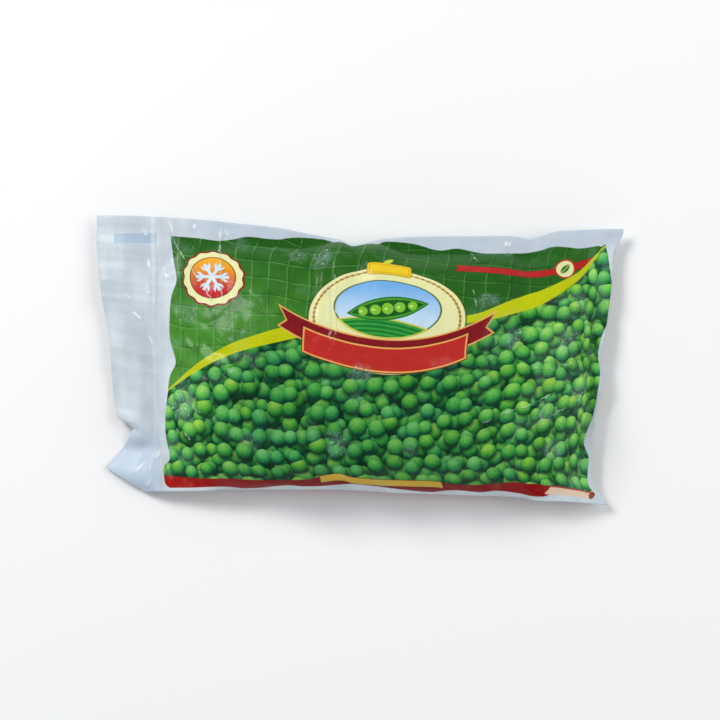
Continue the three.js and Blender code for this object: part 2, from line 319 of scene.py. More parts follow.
def fullness(p, q):
    """How full the bag is, from 0 at the rim of the filling to 1 at its crest."""
    reaches_far = bell(p - LIP_GONE_AT, LIP_GONE_OVER)
    lip = LIP * (1 - reaches_far)
    wander = WELD_WANDER * noise(q * BODY_WIDTH, 0 * q, WELD_WANDER_SIZE, WELD_WANDER_SEED)
    along = np.where(p < 0.5, 1 - 2 * p, (p - 0.5) / (RIGHT_WELD + wander - 0.5))
    across = np.where(q < CREST, (CREST - q) / CREST, (q - CREST) / (1 - lip - CREST))
    ends = np.abs(along) ** SQUARENESS
    sides = np.abs(across) ** SQUARENESS
    rim = np.minimum((ends + sides) ** (1 / SQUARENESS), 1)
    side_round = np.where(q < CREST, NEAR_ROUND, mix(FAR_ROUND, NEAR_ROUND, reaches_far))
    share = np.where(ends > 0, 1 / (1 + np.sqrt(sides / np.maximum(ends, 1e-30))), 0)
    corner = rim ** CORNER_NEARNESS * (4 * share * (1 - share)) ** 2
    power = mix(mix(side_round, END_ROUND, share), CORNER_ROUND, corner)
    return (1 - rim ** DOME) ** power


def make_swells():
    draws = random_from(SWELL_SEED)
    made = []
    for _ in range(SWELL_COUNT):
        angle = next(draws) * math.pi
        length = mix(SWELL_SHORTEST, SWELL_LONGEST, next(draws))
        waves = 2 * math.pi / length
        made.append((waves * math.cos(angle), waves * math.sin(angle), next(draws) * 2 * math.pi))
    return made


SWELLS = make_swells()


def swelling(x, y):
    return SWELL_HEIGHT * sum(np.sin(kx * x + ky * y + phase) for kx, ky, phase in SWELLS)


def pea_bump(u, v):
    """The height of the film over the nearest pea, at u along the film and v across it."""
    column = np.floor(u / PEA_SPACING)
    row = np.floor(v / PEA_SPACING)
    best = np.zeros(np.broadcast(u, v).shape)
    for di in (-1, 0, 1):
        for dj in (-1, 0, 1):
            i = column + di
            j = row + dj
            du = u / PEA_SPACING - i - mix(PEA_MARGIN, 1 - PEA_MARGIN, scatter(i, j, 1))
            dv = v / PEA_SPACING - j - mix(PEA_MARGIN, 1 - PEA_MARGIN, scatter(i, j, 2))
            size = mix(PEA_SMALLEST, PEA_LARGEST, scatter(i, j, 3))
            best = np.maximum(best, 1 - (du * du + dv * dv) / (size * size))
    return PEA_BUMP * best


def gathers(rows, along, inward):
    """Short folds that run in from a side, square to it."""
    total = 0
    for seed, length, spacing, depth, reach in rows:
        draws = random_from(seed)
        at = spacing * next(draws)
        while at < length:
            width = spacing * mix(*GATHER_WIDTHS, next(draws))
            deep = depth * mix(-1, 1, next(draws))
            far = reach * mix(*GATHER_REACHES, next(draws))
            total = total + deep * bell(along - at, width) * bell(inward, far)
            at += spacing * mix(*GATHER_HOPS, next(draws))
    return total


def creased(x, y):
    total = 0
    for start, end, width, height in CREASES:
        dx = end[0] - start[0]
        dy = end[1] - start[1]
        length = math.hypot(dx, dy)
        along = ((x - start[0]) * dx + (y - start[1]) * dy) / length ** 2
        aside = ((x - start[0]) * dy - (y - start[1]) * dx) / length
        taper = smooth(-CREASE_OVER, CREASE_START, along) * smooth(1 + CREASE_OVER, CREASE_END, along)
        total = total + height * taper * bell(aside, width)
    return total


def thin_creases(u, v, creases, width):
    """1 on a thin crease and less beside it. Its line wanders and fades towards its ends."""
    most = np.zeros(np.broadcast(u, v).shape)
    wander = THIN_CREASE_WANDER * noise(u, v, *THIN_CREASE_NOISE)
    for start, end, strength in creases:
        du = end[0] - start[0]
        dv = end[1] - start[1]
        length = math.hypot(du, dv)
        share = ((u - start[0]) * du + (v - start[1]) * dv) / length ** 2
        aside = ((u - start[0]) * dv - (v - start[1]) * du) / length + wander
        fade = np.sqrt(np.clip(4 * share * (1 - share), 0, 1))
        most = np.maximum(most, strength * fade * bell(aside, width))
    return most


def thin_ridges(u, v):
    printed = [(start, end, 1) for start, end in THIN_CREASES]
    return THIN_CREASE_HEIGHT * thin_creases(u, v, printed + BARE_CREASES, THIN_CREASE_WIDTH)


def side_height(p, q):
    """The height of the side line, and of the welds, over the table."""
    x, _ = plan_of(p, q)
    welded = np.minimum(bell(p, WELD_REACH) + bell(1 - p, WELD_REACH), 1)
    waves = gathers(LEFT_GATHERS, q * BODY_WIDTH, x - seal_line(q)[0])
    waves = waves + gathers(RIGHT_GATHERS, q * BODY_WIDTH, right_end(q)[0] - x)
    near_ear = EAR_DROOP_NEAR * bell(q, EAR_ACROSS)
    far_ear = EAR_DROOP_FAR * bell(1 - q, EAR_ACROSS)
    ears = bell(1 - p, EAR_ALONG) * (near_ear + far_ear)
    return mix(mix(SIDE_NEAR, SIDE_FAR, q), SIDE_AT_WELD, welded) + GATHER_AT_RIM * waves - ears


def tail_height(s, q):
    """The height of the tail at share s of its length beyond the weld and q across it."""
    waves = sum(h * np.sin(across * q + along * s + phase) for h, across, along, phase in TAIL_WAVES)
    on_panel = smooth(TUCK - TUCK_START, TUCK + TUCK_END, q)
    ripple = WING_RIPPLE * np.sin(WING_RIPPLES * q) - WING_SINK
    wing = ripple * (1 - smooth(TUCK - TUCK_START, TUCK, q))
    step = TUCK_STEP * (on_panel - 0.5)
    weld = side_height(np.zeros_like(q), q)
    return weld - TAIL_DROOP * s * s + waves * s + (step + wing) * smooth(0, 0.5, s)


def share_of(i):
    return (1 - np.cos(np.pi * i / FINE)) / 2


def evenly(place, steps):
    """Shares of a line, spaced so that each step has the same length along the film."""
    points = np.stack(place(share_of(np.arange(FINE + 1))), axis=-1)
    hops = np.linalg.norm(np.diff(points, axis=0), axis=1)
    reached = np.concatenate([[0], np.cumsum(hops)])
    wanted = np.linspace(0, reached[-1], steps + 1)
    return share_of(np.interp(wanted, reached, np.arange(FINE + 1))), reached[-1]


def plain_top(p, q):
    x, y = plan_of(p, q)
    return x, y, side_height(p, q) + CROWN * fullness(p, q)


def plain_under(p, q):
    x, y = plan_of(p, q)
    return x, y, np.maximum(0, side_height(p, q) - SAG * fullness(p, q))


def ridges(u, v, size, seed):
    """Sharp crests that wander about, size millimetres apart, as on crumpled film."""
    bent = noise(u, v, size * 1.7, seed + 5)
    return (1 - np.abs(noise(u + size * bent, v - size * bent, size, seed))) ** RIDGE_SHARPNESS


def crumple(u, v):
    """Fine creases in the film. They are strong in some places and almost gone in others."""
    strong = smooth(-0.3, 0.9, noise(u, v, *CRUMPLE_PATCHES))
    wide = ridges(u, v * 0.8, *WIDE_RIDGES)
    fine = ridges(u * 1.1, v * 0.7, *FINE_RIDGES)
    height = WIDE_RIDGE_HEIGHT * wide + FINE_RIDGE_HEIGHT * fine
    return strong * height + RIDGES_ANYWHERE * fine


def body_grid(plain):
    """Shares p and q of every place on one side of the filled bag, and u and v on the film."""
    along, length = evenly(lambda p: plain_top(p, np.full_like(p, CREST)), BODY_COLUMNS)
    p = np.repeat(along[:, None], ROWS + 1, axis=1)
    q = np.empty_like(p)
    v = np.empty_like(p)
    for i, share in enumerate(along):
        q[i], across = evenly(lambda t: plain(np.full_like(t, share), t), ROWS)
        v[i] = np.linspace(0, across, ROWS + 1) - through_knots(NEAR_EXTRA, share)
    u = np.repeat(np.linspace(0, length, BODY_COLUMNS + 1)[:, None], ROWS + 1, axis=1)
    return p, q, u, v


def side_folds(p, x, y):
    far = gathers(FAR_GATHERS, p * BODY_LENGTH, far_side(p)[1] - y)
    return far + gathers(NEAR_GATHERS, p * BODY_LENGTH, y - near_side(p)[1])


def loose_film(x, y):
    """The empty film beyond the filling lies in low waves."""
    return sum(height * noise(x, y, size, seed) for height, size, seed in LOOSE_WAVES)


def body(side):
    """The filled bag; side is 1 for its printed top and -1 for its underside."""
    p, q, u, v = body_grid(plain_top if side > 0 else plain_under)
    x, y = plan_of(p, q)
    full = fullness(p, q)
    loose = smooth(0, LOOSE_BELOW, full)
    level = side_height(p, q)
    folds = side_folds(p, x, y)
    lying = (1 - loose) * smooth(0, WELD_FLAT, u) * loose_film(x, y)
    if side > 0:
        relief = folds + creased(x, y) + swelling(x, y) + pea_bump(u, v) + crumple(u, v)
        lying = lying + thin_ridges(u, v)
        z = level + CROWN * full + loose * relief + lying + FILM / 2
    else:
        relief = folds + pea_bump(v, u) + crumple(u, v + BODY_WIDTH)
        z = np.maximum(level - SAG * full - loose * relief + lying - FILM / 2, 0)
    return x, y, z, u, v


def tail(side):
    """The loose tail; side is 1 on top and -1 underneath."""
    s = np.repeat((1 - np.arange(TAIL_COLUMNS) / TAIL_COLUMNS)[:, None], ROWS + 1, axis=1)
    q = np.repeat(np.linspace(0, 1, ROWS + 1)[None, :], TAIL_COLUMNS, axis=0)
    x0, y0 = seal_line(q)
    x1, y1 = cut_edge(q)
    x = mix(x0, x1, s)
    y = mix(y0, y1, s)
    lying = smooth(0, TAIL_FLAT, s) * (0.55 * loose_film(x, y) + 0.3 * crumple(x, y))
    u = -s * np.hypot(x1 - x0, y1 - y0)
    v = q * BODY_WIDTH
    z = np.maximum(tail_height(s, q) + lying + thin_ridges(u, v), FILM)
    return x, y, z + side * FILM / 2, u, v


def film_side(side):
    """Everything on one side of the film, from the cut edge to the right-hand end."""
    return [np.concatenate(pair) for pair in zip(tail(side), body(side))]


# The print's layout in film millimetres, as curves through (u, v) or (v, u).
PRINT_LEFT = [
    (1.9, 9.5), (3.9, 6.7), (7.9, 5.7), (12.8, 5.7), (16.8, 10.5), (28.6, 8.6), (40.5, 8.6),
    (50.4, 10.5), (61.4, 12.4), (68.7, 16.2), (81.3, 12.4), (95.1, 12.4), (105.1, 13.3),
    (114.4, 16.2), (125.1, 14.3), (137.7, 12.4),
]
PRINT_RIGHT = [
    (3, 245), (5.5, 248), (7.3, 248.9), (11, 248.2), (20, 249.9), (27, 250.2), (34.3, 247),
    (40.4, 247.9), (50, 250.3), (68.9, 250), (77, 250.8), (84, 250), (92.2, 250.2),
    (98.5, 251.7), (104, 252.6), (118, 252.6), (124, 251.4), (130, 250.4), (136.6, 248.8),
    (142, 246),
]
PRINT_TOP = [
    (13.3, 138.9), (27.6, 141.1), (40, 142.4), (46, 144.4), (55, 148.8), (69.6, 151.3),
    (77.2, 153.6), (86, 154.7), (97, 154), (102, 149.8), (107.5, 146.4), (113.5, 148.2),
    (122.5, 154.8), (128, 155.2), (139, 154.4), (152, 151.2), (161, 152.4), (171, 150),
    (177, 148.2), (186, 146.8), (196.4, 145), (204, 145.6), (210, 146.3), (218, 144.3),
    (227, 142), (240, 142.1), (247.8, 143),
]
PRINT_BOTTOM = [
    (6.7, 1.9), (30.5, 1.8), (44.8, 1.6), (54.3, 0.7), (62.9, 2.5), (71.5, 5.3), (78.2, 6.5),
    (84, 5.6), (93.4, 6.4), (103.9, 8.4), (109.6, 9.3), (120.1, 8.5), (130.6, 7.3), (143, 5.4),
    (150.6, 4.5), (158, 6.9), (165.9, 7.5), (176.4, 5.6), (184.9, 6.3), (198.3, 3),
    (210.7, 2.7), (216, 4), (245, 3),
]
STRIP_TOP = [
    (5.7, 8.6), (23.8, 7.2), (36.2, 6.9), (50.5, 7.9), (72.5, 10.6), (88.7, 12.6), (95, 14.9),
    (105.8, 16.7), (111, 14.7), (121.1, 13.9), (137.3, 14.6), (155, 14.6), (162, 13),
    (184, 12), (209.7, 11.7), (217.4, 10.1), (246, 8),
]
BAND_LOW = [
    (0, 47), (11.4, 53.5), (31.4, 65.7), (59.1, 79.2), (89.6, 89.2), (130, 95), (172, 99.4),
    (185.9, 101.4), (200.2, 105.6), (212.6, 111.9), (222.1, 118.6), (230.7, 125.6),
    (242, 136.6), (252, 145.8),
]
BAND_HIGH = [
    (0, 47), (11.4, 54.4), (31.4, 69.8), (59.1, 85.4), (83.9, 94.8), (130, 99), (172, 103.8),
    (188.8, 110.2), (208.8, 118.4), (220.2, 124), (229.8, 129.6), (240.2, 137.4), (252, 147),
]


def print_fields(u, v):
    """Distances in millimetres that the front's print is drawn from, above zero inside."""
    left = u - through_knots(PRINT_LEFT, v)
    right = through_knots(PRINT_RIGHT, v) - u
    top = through_knots(PRINT_TOP, u) - v
    bottom = v - through_knots(PRINT_BOTTOM, u)
    return {
        "inset": np.minimum(np.minimum(left, right), np.minimum(top, bottom)),
        "over_strip": v - through_knots(STRIP_TOP, u),
        "over_band": v - through_knots(BAND_LOW, u),
        "under_band": through_knots(BAND_HIGH, u) - v,
    }


def film_mesh():
    """One closed mesh: the top, the underside, and a narrow wall of film round the outline."""
    top = film_side(1)
    under = film_side(-1)
    columns, across = top[0].shape
    count = columns * across
    places = np.concatenate([np.stack(side[:3], -1).reshape(-1, 3) for side in (top, under)])
    low = np.array(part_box("pea_bag")[0]) / MM
    places[:, :2] += (low - places.min(0))[:2]

    at = np.arange(count).reshape(columns, across)
    corners = [at[:-1, :-1], at[1:, :-1], at[1:, 1:], at[:-1, 1:]]
    upper = np.stack(corners, -1).reshape(-1, 4)
    lower = np.stack(corners[::-1], -1).reshape(-1, 4) + count
    rim = np.concatenate([at[:-1, 0], at[-1, :-1], at[:0:-1, -1], at[0, :0:-1]])
    after = np.roll(rim, -1)
    wall = np.stack([rim + count, after + count, after, rim], -1)
    faces = np.concatenate([upper, lower, wall])

    mesh = bpy.data.meshes.new("pea_bag_film")
    mesh.from_pydata((places * MM).tolist(), [], faces.tolist())
    mesh.polygons.foreach_set("use_smooth", np.ones(len(faces), bool))
    mesh.polygons.foreach_set("material_index", np.repeat([0, 1, 0], [len(upper), len(lower), len(wall)]))

    u, v = (np.concatenate([side[k].ravel() for side in (top, under)]) for k in (3, 4))
    add_attribute(mesh, "along", u)
    add_attribute(mesh, "across", v)
    add_attribute(mesh, "glint", thin_creases(u, v, BARE_CREASES, GLINT_WIDTH))
    for name, values in print_fields(u, v).items():
        add_attribute(mesh, name, values)
    add_bake_map(mesh, faces, u, v, count, len(wall))
    return mesh


def add_attribute(mesh, name, values):
    mesh.attributes.new(name, "FLOAT", "POINT").data.foreach_set("value", values.astype(np.float32))


def add_bake_map(mesh, faces, u, v, count, walls):
    """A flat map of the film: the front in the upper half, the back in the lower half."""
    gap = 0.004
    across = (v / v.max()) * (0.5 - 3 * gap) + gap
    across = np.where(np.arange(len(v)) < count, across + 0.5 + gap, across)
    along = gap + (u - u.min()) / (u.max() - u.min()) * (1 - 2 * gap)
    flat = np.stack([along, across], -1)[faces]
    strip = np.linspace(gap, 1 - gap, walls + 1)
    flat[-walls:, :, 0] = np.stack([strip[:-1], strip[1:], strip[1:], strip[:-1]], -1)
    flat[-walls:, :, 1] = 0.5 + gap * np.array([-0.5, -0.5, 0.5, 0.5])
    mesh.uv_layers.new(name="film_map").data.foreach_set("uv", flat.ravel().astype(np.float32))


class Term:
    """One output in a material's node graph. Arithmetic on it adds Math nodes."""

    def __init__(self, graph, socket):
        self.graph = graph
        self.socket = socket

    def __add__(self, other):
        return self.graph.math("ADD", self, other)

    def __sub__(self, other):
        return self.graph.math("SUBTRACT", self, other)

    def __rsub__(self, other):
        return self.graph.math("SUBTRACT", other, self)

    def __mul__(self, other):
        return self.graph.math("MULTIPLY", self, other)

    def __truediv__(self, other):
        return self.graph.math("DIVIDE", self, other)

    __radd__ = __add__


class Graph:
    """A material's nodes, made by short calls that each give back a Term."""

    def __init__(self, name):
        self.material = bpy.data.materials.new(name)
        self.material.use_nodes = True
        self.tree = self.material.node_tree
        self.shader = self.tree.nodes["Principled BSDF"]

    def feed(self, socket, value):
        if isinstance(value, Term):
            self.tree.links.new(value.socket, socket)
        else:
            socket.default_value = value

    def node(self, kind, inputs, **settings):
        made = self.tree.nodes.new("ShaderNode" + kind)
        for name, value in settings.items():
            setattr(made, name, value)
        for key, value in inputs.items():
            self.feed(made.inputs[key], value)
        return made

    def math(self, operation, *terms):
        return Term(self, self.node("Math", dict(enumerate(terms)), operation=operation).outputs[0])

    def low(self, a, b):
        return self.math("MINIMUM", a, b)

    def high(self, a, b):
        return self.math("MAXIMUM", a, b)

    def part(self, a):
        return self.math("FRACT", a)

    def away(self, a):
        return self.math("ABSOLUTE", a)

    def reach(self, a, b):
        return self.math("SQRT", a * a + b * b)

    def smooth(self, low, high, x):
        inputs = {"Value": x, "From Min": low, "From Max": high}
        return Term(self, self.node("MapRange", inputs, interpolation_type="SMOOTHSTEP").outputs[0])

    def mix(self, a, b, t, blend="MIX"):
        inputs = {0: t, 6: a, 7: b}
        made = self.node("Mix", inputs, data_type="RGBA", blend_type=blend, clamp_factor=True)
        return Term(self, made.outputs[2])

    def attribute(self, name):
        return Term(self, self.node("Attribute", {}, attribute_name=name).outputs["Fac"])

    def vector(self, x, y):
        return Term(self, self.node("CombineXYZ", {0: x, 1: y}).outputs[0])

    def split(self, vector):
        return [Term(self, socket) for socket in self.node("SeparateXYZ", {0: vector}).outputs]

    def noise(self, place, size, detail=2.0, rough=0.5, bend=0.0):
        inputs = {"Vector": place, "Scale": 1 / size, "Detail": detail, "Roughness": rough,
                  "Distortion": bend}
        return Term(self, self.node("TexNoise", inputs, noise_dimensions="2D").outputs[0])

    def cells(self, place, jitter):
        inputs = {"Vector": place, "Scale": 1.0, "Randomness": jitter}
        made = self.node("TexVoronoi", inputs, voronoi_dimensions="2D", feature="F1")
        return [Term(self, made.outputs[name]) for name in ("Color", "Position")]

    def ramp(self, x, stops):
        made = self.node("ValToRGB", {0: x})
        points = made.color_ramp.elements
        while len(points) < len(stops):
            points.new(0.5)
        for point, (place, colour) in zip(points, stops):
            point.position = place
            point.color = colour
        return Term(self, made.outputs[0])

    def stamp(self, under, *layers, blur=0.2):
        """Layers of (paint, distance), each laid where its distance in millimetres is below zero."""
        for paint, distance in layers:
            under = self.mix(under, paint, self.smooth(blur, -blur, distance))
        return under


def srgb(red, green, blue):
    """A colour given as it looks, from 0 to 255, for a shader socket."""
    def linear(level):
        share = level / 255
        return share / 12.92 if share <= 0.04045 else ((share + 0.055) / 1.055) ** 2.4
    return (linear(red), linear(green), linear(blue), 1.0)


CREAM = srgb(226, 226, 166)
GOLD = srgb(166, 128, 52)
ORANGE_LINE = srgb(232, 168, 92)
RED = srgb(186, 44, 38)
DARK_RED = srgb(128, 22, 30)
STRIP_RED = srgb(142, 10, 12)
STRIP_RED_LEFT = srgb(164, 24, 20)
STRIP_RED_MIDDLE = srgb(124, 6, 10)
YELLOW = srgb(188, 196, 12)
LABEL_YELLOW = srgb(232, 196, 40)
SNOW = srgb(206, 222, 236)
LEAF = srgb(30, 120, 36)
MARK_BLUE = srgb(168, 188, 205)
GLINT = srgb(248, 251, 254)
# A pale frosty haze that is also painted sheen on the film.
FROST_AND_SHEEN = srgb(164, 204, 186)

# Bare film: its clouds, the tail's wing, the far margin and the weld.
BARE = srgb(196, 206, 212)
BARE_LIGHT = srgb(211, 220, 227)
BARE_CLOUD = srgb(186, 199, 209)
BARE_WING = srgb(186, 206, 226)
BARE_FAR = srgb(190, 204, 219)
BARE_WELD = srgb(222, 231, 240)

# The green field and its grid of paired lines.
FIELD = srgb(36, 94, 24)
FIELD_LIGHT = srgb(76, 144, 48)
FIELD_DARK = srgb(26, 80, 26)
GRID_PALE = srgb(104, 162, 88)
GRID_DARK = srgb(20, 66, 24)
GRID_STEP = 10.8
GRID_LINE = 0.55

# The printed peas lie in layers, the lowest first: spacing, turn, shift and how light it is.
PEA_LAYERS = [
    (8.5, 0.4, (3.1, 7.7), 0.45), (8.8, 1.3, (41.3, 12.9), 0.72), (9.0, 0.8, (17.7, 33.1), 0.88),
    (9.3, 2.1, (71.9, 55.3), 0.96), (10.1, 0.1, (133.7, 91.3), 1.0),
]
PEA_LIGHT = (-0.12, 0.42)
PEA_GAP = srgb(6, 44, 25)
PEA_RAMP = [
    (0.0, srgb(8, 58, 36)), (0.18, srgb(22, 92, 46)), (0.38, srgb(40, 126, 54)),
    (0.58, srgb(74, 158, 66)), (0.76, srgb(112, 180, 86)), (0.95, srgb(158, 204, 126)),
]
# Tints for cold peas, for warm ones and for all near the bag's ends.
PEA_COLD = (0.8, 0.98, 1.9, 1)
PEA_WARM = (1.5, 1.05, 0.5, 1)
PEA_PALE = (2.15, 1.58, 1.42, 1)
# A pea's scatter in its layer, its least radius and that radius's range.
PEA_JITTER = 0.56
PEA_RADIUS = 0.37
PEA_RADIUS_RANGE = 0.1

# Patches of crinkled film, bumped and painted with a frosty haze, painted sheen and painted sparks: (u,
# v), radius and strength.
CRINKLES = [
    ((94, 134), 8, 0.8), ((82, 136), 6, 0.5), ((179, 112), 6.5, 0.8), ((194, 89), 7, 0.9),
    ((116, 70), 6.5, 0.8), ((105, 34), 8, 0.6), ((26, 95), 7, 0.5), ((21, 47), 10, 0.9),
    ((226, 88), 9, 0.6), ((236, 62), 8, 0.5), ((214, 48), 6, 0.6), ((222, 30), 8, 0.6),
    ((52, 143), 6, 0.5), ((144, 34), 5, 0.4), ((60, 74), 6, 0.4), ((15, 78), 6, 0.4),
    ((187.6, 145.5), 3.2, 0.6),
]


def ellipse(g, u, v, centre, radii):
    """Distance in millimetres to an ellipse's edge, below zero inside it."""
    ring = g.reach((u - centre[0]) / radii[0], (v - centre[1]) / radii[1])
    return (ring - 1) * min(radii)


def rounded_box(g, u, v, centre, half, corner):
    du = g.away(u - centre[0]) - (half[0] - corner)
    dv = g.away(v - centre[1]) - (half[1] - corner)
    outside = g.reach(g.high(du, 0.0), g.high(dv, 0.0))
    return outside + g.low(g.high(du, dv), 0.0) - corner


def leaf_shape(g, u, v, centre, angle, half):
    """A pointed leaf or pod of half a length and half a width: where two circles overlap."""
    length, width = half
    c = math.cos(angle)
    s = math.sin(angle)
    along = (u - centre[0]) * c + (v - centre[1]) * s
    aside = g.away((v - centre[1]) * c - (u - centre[0]) * s)
    radius = (length * length + width * width) / (2 * width)
    return g.reach(along, aside + (radius - width)) - radius, along, aside


def pea_layer(g, u, v, spacing, turn, shift):
    """Round peas lit from the far side: where they cover, how lit, their tint, their shadow."""
    c = math.cos(turn) / spacing
    s = math.sin(turn) / spacing
    x = u * c + v * s + shift[0]
    y = v * c - u * s + shift[1]
    colour, centre = g.cells(g.vector(x, y), PEA_JITTER)
    large, warm, bright = g.split(colour)
    cx, cy, _ = g.split(centre)
    radius = PEA_RADIUS + large * PEA_RADIUS_RANGE
    nx = (x - cx) / (radius * (0.95 + warm * 0.14))
    ny = (y - cy) / radius
    reach = g.reach(nx, ny)
    height = g.math("SQRT", g.high(1 - reach * reach, 0.0))
    lean_x = (PEA_LIGHT[0] * c + PEA_LIGHT[1] * s) * spacing
    lean_y = (PEA_LIGHT[1] * c - PEA_LIGHT[0] * s) * spacing
    toward = nx * lean_x + ny * lean_y
    lit = height * 0.5 + toward
    cover = g.smooth(1.03, 0.93, reach)
    shadow = g.smooth(1.6, 0.9, reach) * (g.smooth(0.15, -0.35, toward) * 0.75 + 0.25)
    return cover, lit, warm, bright, shadow


def printed_peas(g, u, v):
    """A heap of peas as a printed picture, paler towards both ends of the bag."""
    mottle = g.noise(g.vector(u, v), 1.6, 3.0)
    pale = g.high(g.smooth(70.0, 15.0, u), g.smooth(150.0, 235.0, u))
    picture = PEA_GAP
    for spacing, turn, shift, level in PEA_LAYERS:
        cover, lit, warm, bright, shadow = pea_layer(g, u, v, spacing, turn, shift)
        shade = lit + (mottle - 0.5) * 0.24 + (bright - 0.5) * 0.16 + 0.04
        pea = g.ramp(shade, PEA_RAMP)
        pea = g.mix(pea, PEA_COLD, g.smooth(0.5, 0.0, warm) * 0.55, "MULTIPLY")
        pea = g.mix(pea, PEA_WARM, g.smooth(0.6, 1.0, warm) * 0.6, "MULTIPLY")
        pea = g.mix(PEA_GAP, pea, 0.15 + level * 0.85)
        picture = g.mix(picture, PEA_GAP, shadow * 0.85)
        picture = g.mix(picture, pea, cover)
    return g.mix(picture, PEA_PALE, pale, "MULTIPLY")


def woven_field(g, u, v):
    """The green field with its loose grid of paired light and dark lines."""
    place = g.vector(u, v)
    sway = (g.noise(place, 60.0, 1.0) - 0.5) * 16
    dip = (g.noise(g.vector(v + 300, u), 55.0, 1.0) - 0.5) * 14
    light_left = g.smooth(190.0, 40.0, u) * g.smooth(150.0, 72.0, v)
    light = g.high(light_left, g.smooth(190.0, 240.0, u) * 0.22)
    mottle = g.noise(place, 9.0, 4.0, 0.6)
    green = g.mix(FIELD, FIELD_LIGHT, light)
    green = g.mix(green, FIELD_DARK, g.smooth(0.35, 0.75, mottle) * 0.4)
    share = GRID_LINE / GRID_STEP
    weave = g.noise(place, 9.0, 2.0)
    clearer = g.smooth(150.0, 30.0, u)
    threads = [((u + sway) / GRID_STEP, 0.26, 0.55), ((v + dip + u * 0.05) / GRID_STEP, 0.2, 0.65)]
    for across, lightness, darkness in threads:
        inside = g.part(across) - 0.4
        pale = g.smooth(share, share * 0.3, g.away(inside))
        dark = g.smooth(share, share * 0.3, g.away(inside - share * 1.7))
        pale = pale * g.smooth(0.75, 0.4, weave) * (clearer * 0.34 + lightness)
        dark = dark * g.smooth(0.25, 0.6, weave) * (darkness - clearer * 0.2)
        green = g.mix(green, GRID_DARK, dark)
        green = g.mix(green, GRID_PALE, pale)
    return green


def snowflake(g, reach, angle, radius):
    """Six plain arms with a pair of twigs each; the distance is below zero on the flake."""
    sixth = math.pi / 3
    angle = (g.part(angle / sixth + 6.5) - 0.5) * sixth
    along = reach * g.math("COSINE", angle)
    aside = g.away(reach * g.math("SINE", angle))
    arm = g.high(aside - radius * 0.1, along - radius)
    twig_line = g.away((along - radius * 0.5) * 0.64 - aside * 0.77)
    twig = g.high(twig_line - radius * 0.075, aside - radius * 0.3)
    return g.low(arm, twig)


# The seal at the upper left, with its radii from the rim inwards.
SEAL_CENTRE = (37.6, 116.8)
SEAL_RADIUS = 17.6
SEAL_CREAM = 16.5
SEAL_DISC = 12.4
SEAL_LOBES = 14
FLAKE_RADIUS = 9.2


def badge(g, picture, u, v):
    """A round seal with a snowflake: keep frozen."""
    du = u - SEAL_CENTRE[0]
    dv = v - SEAL_CENTRE[1]
    reach = g.reach(du, dv)
    angle = g.math("ARCTAN2", dv, du)
    rim = g.math("COSINE", angle * SEAL_LOBES) * 0.45 + reach
    disc = reach - SEAL_DISC
    glow = g.mix(srgb(190, 30, 36), srgb(236, 168, 40), g.smooth(-9.0, 12.0, dv))
    return g.stamp(
        picture, (DARK_RED, rim - SEAL_RADIUS), (CREAM, rim - SEAL_CREAM),
        (srgb(120, 40, 24), disc - 0.6), (glow, disc),
        (SNOW, snowflake(g, reach, angle, FLAKE_RADIUS)),
    )


# The cream oval, its window onto a field, and the pod in the window.
OVAL_CENTRE = (128.0, 99.6)
OVAL_RADII = (39.6, 29.0)
BEADS = 70
WINDOW_CENTRE = (128.0, 105.4)
WINDOW_RADII = (26.5, 15.5)
POD_TURN = 0.18
POD_HALF = (21.0, 6.4)
POD_INSIDE = (18.6, 4.5)
POD_PEA_STEP = 6.4
POD_PEA_RADIUS = 3.15
POD_PEAS_END = 16.2


def medallion(g, picture, u, v):
    """A cream oval with a beaded gold rim, and in its window a pea pod over a field."""
    outline = ellipse(g, u, v, OVAL_CENTRE, OVAL_RADII)
    across = (v - OVAL_CENTRE[1]) / OVAL_RADII[1]
    angle = g.math("ARCTAN2", across, (u - OVAL_CENTRE[0]) / OVAL_RADII[0])
    rim = g.away(outline + 1.9) - 0.42 - g.math("SINE", angle * BEADS) * 0.16
    window = ellipse(g, u, v, WINDOW_CENTRE, WINDOW_RADII)
    sky = g.mix(srgb(196, 220, 236), srgb(110, 170, 226), g.smooth(96.0, 121.0, v))
    from_top = u - 120.0
    hill = v - 99.5 + from_top * from_top * 0.006
    furrow = g.away(g.part(hill * 0.42 + 0.3) - 0.5)
    grass = g.mix(srgb(20, 120, 44), srgb(58, 158, 62), g.smooth(0.2, 0.4, furrow))
    ground = g.high(hill, window)
    picture = g.stamp(
        picture, (srgb(60, 70, 30), outline - 0.5), (CREAM, outline), (GOLD, rim),
        (srgb(70, 96, 40), window - 0.55), (sky, window),
        (srgb(196, 196, 84), ground - 0.9), (grass, ground),
    )
    return pea_pod(g, picture, u, v)


def pea_pod(g, picture, u, v):
    """An open pod with a row of peas, each with a small shine."""
    pod, along, aside = leaf_shape(g, u, v, WINDOW_CENTRE, POD_TURN, POD_HALF)
    inner, _, _ = leaf_shape(g, u, v, WINDOW_CENTRE, POD_TURN, POD_INSIDE)
    in_row = (g.part(along / POD_PEA_STEP + 0.5) - 0.5) * POD_PEA_STEP
    past_end = g.away(along) - POD_PEAS_END
    radius = POD_PEA_RADIUS - g.away(along) * 0.06
    pea = g.high(g.reach(in_row, aside) - radius, past_end)
    shine = g.high(g.reach(in_row + 0.8, aside + 0.2) - 0.9, past_end)
    return g.stamp(
        picture, (srgb(24, 104, 34), pod), (srgb(74, 150, 44), pod + 0.7),
        (srgb(22, 88, 30), inner), (srgb(122, 188, 52), pea), (srgb(190, 222, 116), shine),
    )


# The blank ribbon under the oval: its middle and half its size, then the same of its tails.
RIBBON_MIDDLE = (128.0, 78.0)
RIBBON_HALF = (42.0, 6.6)
TAILS_OVER = 5.2
TAILS_HALF = (55.4, 5.8)
TAILS_NOTCH = 51.0


